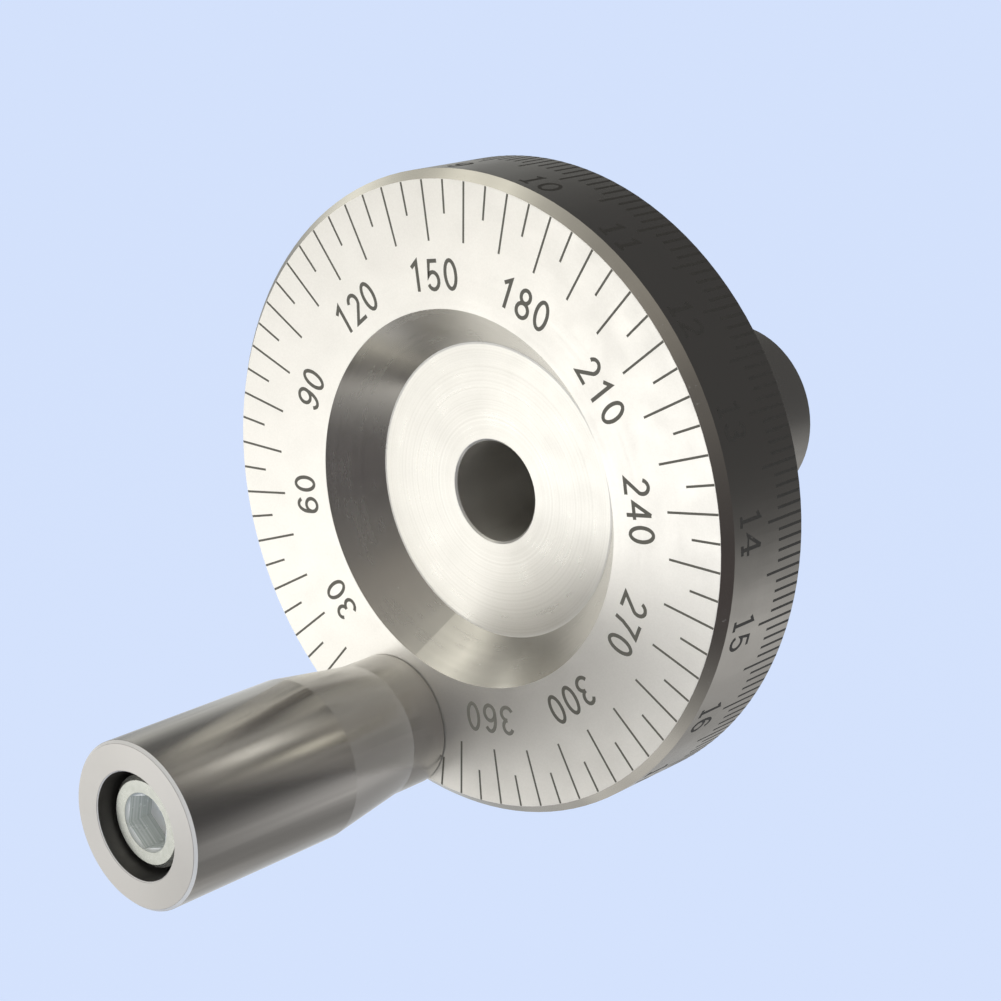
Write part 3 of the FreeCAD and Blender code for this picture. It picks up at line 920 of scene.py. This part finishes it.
def make_world():
    """The pale blue behind the wheel, and a near-white glow for what scatters light."""
    world = bpy.data.worlds.new("plain_studio")
    bpy.context.scene.world = world
    world.use_nodes = True
    tree = world.node_tree
    tree.nodes.clear()
    ambient = add_node(tree, "ShaderNodeBackground",
                       {"Color": linear(AMBIENT), "Strength": AMBIENT_LEVEL})
    plain = add_node(tree, "ShaderNodeBackground", {"Color": linear(BACKGROUND), "Strength": 1.0})
    sky = add_node(tree, "ShaderNodeMixShader",
                   {0: seen_directly(tree), 1: ambient.outputs[0], 2: plain.outputs[0]})
    add_node(tree, "ShaderNodeOutputWorld", {"Surface": sky.outputs[0]})


make_floor()
make_world()
print("ground and world are", BACKGROUND)

# %% [markdown]
# Soft lamps
#
# Lamps light what is not a mirror: the paint, the ground and the satin share of the metal.
# Bare lamps would show as hard squares in the polish, so mirrors don't see these. Two large
# ones stand on the left, one level with the wheel and one high, as a window would. A small
# one on the right draws a bright line along worn edges.

# %% Lamps
AIM = Vector((0.0, -0.08, 0.0))
LAMP_DISTANCE = 1.1


def direction(azimuth, elevation):
    """A unit vector. Azimuth turns from straight in front of the dial to the right."""
    around = math.radians(azimuth)
    up = math.radians(elevation)
    return Vector((math.sin(around) * math.cos(up), -math.cos(around) * math.cos(up), math.sin(up)))


def add_softbox(name, azimuth, elevation, width, height, radiance, tint):
    """An area lamp sized by the brightness of its face. Mirrors see the tent instead of it."""
    lamp = bpy.data.lights.new(name, "AREA")
    lamp.shape = "RECTANGLE"
    lamp.size = width
    lamp.size_y = height
    lamp.energy = radiance * math.pi * width * height
    lamp.color = linear(tint)[:3]
    softbox = link(bpy.data.objects.new(name, lamp))
    spot = AIM + direction(azimuth, elevation) * LAMP_DISTANCE
    turn = (AIM - spot).to_track_quat("-Z", "Y")
    softbox.matrix_world = Matrix.LocRotScale(spot, turn, None)
    softbox.visible_camera = False
    softbox.visible_glossy = False
    print(name, "gives", round(lamp.energy, 2), "W")


add_softbox("window_lamp", -50, -8, 1.1, 1.0, 1.25, "#fffaf2")
add_softbox("top_lamp", -72, 50, 0.7, 0.6, 0.95, "#fffaf0")
add_softbox("edge_lamp", 68, 12, 0.5, 0.5, 4.0, "#fffdf8")

# %% [markdown]
# The light tent
#
# Polished metal has no colour of its own: it shows what stands round it. Small metal parts
# are photographed in a tent, so the metal here sees one closed ball, dark inside, with soft
# patches of light on its wall. A patch is brightest in its middle and fades evenly, like lit
# cloth. Flat cards would also do, but they leave gaps between them, and every gap shows as a
# hard line in a mirror. Only reflections see the ball.

# %% Where the tent is lit
TENT_RADIUS = 0.3
TENT_CLOTH = "#464545"
# Azimuth, elevation and spread in degrees, colour, brightness.
TENT_PATCHES = [
    # In front, for the dial and the recess floor.
    (-58, -18, 15, "#fffefb", 0.78),
    (-32, -6, 14, "#fffefb", 1.40),
    (-8, -14, 14, "#f9fbff", 1.12),
    (-36, -38, 13, "#fffefb", 0.42),
    # From high on the left over to the right, for the bevel and the lower recess wall.
    (-91, 25, 10, "#fbf9ee", 1.40),
    (-63, 54, 12, "#fdfaee", 1.15),
    (-30, 62, 12, "#fdfaee", 0.38),
    (13, 57, 13, "#f8f2e6", 0.30),
    (38, 44, 12, "#f8eee0", 0.22),
    (48, 20, 13, "#f8eee4", 0.10),
    (54, -18, 18, "#e8a0a8", 0.02),
    # On the left, for the length of the grip.
    (-80, -30, 14, "#fffefb", 0.95),
    (-130, -31, 13, "#eef4fb", 1.10),
    (-105, -64, 14, "#f6f8fa", 0.25),
    (-125, 2, 13, "#f8f9f6", 0.54),
    # Below and behind, for the rim, the hub and the back.
    (-30, -80, 16, "#f8f5f0", 0.50),
    (40, -66, 14, "#f8f5f0", 0.50),
    (-160, -45, 14, "#f6f6f4", 0.18),
    (140, -34, 13, "#f8f6f4", 0.46),
    (178, -38, 16, "#f8f6f4", 0.20),
    (-140, 25, 14, "#f6f8f4", 0.10),
]
# Cloth hangs in soft folds, which become fine streaks in the metal.
FOLDS_PER_RADIAN = 8.0
FOLD_DARKEST = 0.4
FOLD_RANGE = 1.2
print("the tent has", len(TENT_PATCHES), "patches of light")


# %% Tent
def tent_light(tree):
    """The colour of the tent's wall in each direction from its middle."""
    here = add_node(tree, "ShaderNodeTexCoord").outputs["Object"]
    outward = add_node(tree, "ShaderNodeVectorMath", {0: here}, operation="NORMALIZE").outputs[0]
    folds = add_node(tree, "ShaderNodeTexNoise",
                     {"Vector": outward, "Scale": FOLDS_PER_RADIAN, "Detail": 2.0})
    evenness = weighted_sum(tree, FOLD_DARKEST, [(folds.outputs["Fac"], FOLD_RANGE)])
    light = linear(TENT_CLOTH)[:3]
    for azimuth, elevation, spread, tint, brightness in TENT_PATCHES:
        aligned = add_node(tree, "ShaderNodeVectorMath",
                           {0: outward, 1: direction(azimuth, elevation)}, operation="DOT_PRODUCT")
        sharpness = 1 / math.radians(spread) ** 2
        away = weighted_sum(tree, -sharpness, [(aligned.outputs["Value"], sharpness)])
        fading = add_node(tree, "ShaderNodeMath", {0: away}, operation="EXPONENT")
        patch = add_node(tree, "ShaderNodeVectorMath",
                         {0: [channel * brightness for channel in linear(tint)[:3]],
                          "Scale": times(tree, fading.outputs[0], evenness)}, operation="SCALE")
        light = add_node(tree, "ShaderNodeVectorMath",
                         {0: light, 1: patch.outputs[0]}, operation="ADD").outputs[0]
    return light


def make_tent():
    """A lit ball round the wheel that only reflections see."""
    material = bpy.data.materials.new("tent_cloth")
    material.use_nodes = True
    tree = material.node_tree
    tree.nodes.clear()
    glow = add_node(tree, "ShaderNodeEmission", {"Color": tent_light(tree), "Strength": 1.0})
    add_node(tree, "ShaderNodeOutputMaterial", {"Surface": glow.outputs[0]})
    shell = bmesh.new()
    bmesh.ops.create_icosphere(shell, subdivisions=4, radius=TENT_RADIUS)
    mesh = bpy.data.meshes.new("tent")
    shell.to_mesh(mesh)
    shell.free()
    mesh.materials.append(material)
    tent = link(bpy.data.objects.new("tent", mesh))
    tent.location = AIM
    tent.visible_camera = False
    tent.visible_diffuse = False
    tent.visible_shadow = False
    print("tent_cloth has", len(tree.nodes), "nodes")


make_tent()

# %% [markdown]
# The camera
#
# The camera stands where the photographer stood: 40 degrees round to the right of the dial
# and 20 degrees above it. A camera could be placed by eye, but the ovals that the dial, the
# recess and the handle's end make in the picture give its lens and its shift exactly.

# %% Camera
CAMERA_AZIMUTH = math.radians(39.83)
CAMERA_ELEVATION = math.radians(19.94)
PHOTO_SIZE = 1001
DIAL_PIXEL = (462.37, 502.10)
CENTRE_PIXEL = (564.50, 640.00)
FOCAL_PIXELS = 2319.45
DEPTH_TO_DIAL = 440.95 * MM
# Blender counts sensors and lenses in mm.
SENSOR_WIDTH = 36.0
NEAREST_SEEN = 10 * MM


def add_camera():
    """Aim the camera and shift its picture so that the dial's centre falls on its pixel."""
    back = Vector((math.sin(CAMERA_AZIMUTH) * math.cos(CAMERA_ELEVATION),
                   -math.cos(CAMERA_AZIMUTH) * math.cos(CAMERA_ELEVATION),
                   math.sin(CAMERA_ELEVATION)))
    right = Vector((math.cos(CAMERA_AZIMUTH), math.sin(CAMERA_AZIMUTH), 0))
    up = back.cross(right)
    dial_right = (DIAL_PIXEL[0] - CENTRE_PIXEL[0]) * DEPTH_TO_DIAL / FOCAL_PIXELS
    dial_up = (CENTRE_PIXEL[1] - DIAL_PIXEL[1]) * DEPTH_TO_DIAL / FOCAL_PIXELS
    spot = Vector((0, DIAL_Y, 0)) - right * dial_right - up * dial_up + back * DEPTH_TO_DIAL
    lens = bpy.data.cameras.new("camera")
    lens.sensor_width = SENSOR_WIDTH
    lens.lens = FOCAL_PIXELS / PHOTO_SIZE * SENSOR_WIDTH
    lens.shift_x = (PHOTO_SIZE / 2 - CENTRE_PIXEL[0]) / PHOTO_SIZE
    lens.shift_y = (CENTRE_PIXEL[1] - PHOTO_SIZE / 2) / PHOTO_SIZE
    lens.clip_start = NEAREST_SEEN
    camera = link(bpy.data.objects.new("camera", lens))
    camera.matrix_world = Matrix((right, up, back)).transposed().to_4x4()
    camera.matrix_world.translation = spot
    bpy.context.scene.camera = camera
    print("camera at", [round(value / MM, 1) for value in spot], "mm")


add_camera()
bpy.context.scene.view_settings.view_transform = "Standard"
